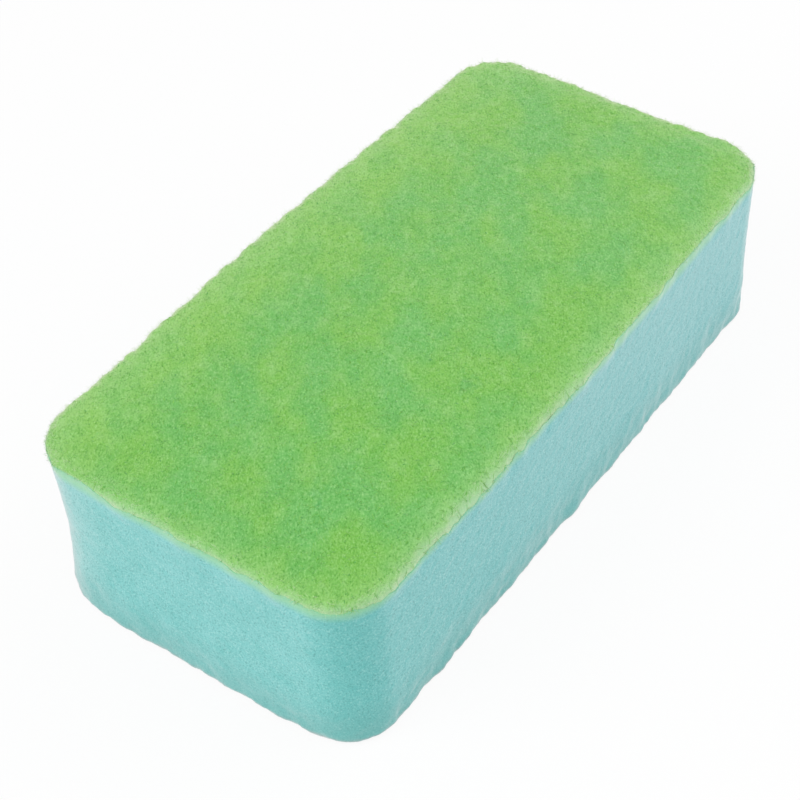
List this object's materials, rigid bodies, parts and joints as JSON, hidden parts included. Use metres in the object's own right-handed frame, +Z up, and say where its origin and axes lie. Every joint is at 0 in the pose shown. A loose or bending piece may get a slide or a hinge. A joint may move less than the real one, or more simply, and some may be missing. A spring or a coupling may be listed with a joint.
{
  "type": "cleaning sponge",
  "caption": "Rectangular cleaning sponge with rounded corners: a thick aqua foam block with a thin green nonwoven scrubbing pad bonded to its upper face.",
  "frame": {"origin": "middle of the underside, on the surface that the sponge lies on", "axes": "+X along the length, +Y across the width, +Z up through the foam and out of the scrubbing pad"},
  "size_m": [0.1214, 0.0607, 0.031],
  "materials": {
    "aqua_foam": "matt open-cell polyurethane foam, fine pores",
    "green_fibre": "matt nonwoven fibre felt with a fuzzy cut edge"
  },
  "bodies": {
    "root": {"foam_block": "aqua_foam", "scrub_pad": "green_fibre"}
  },
  "joints": []
}
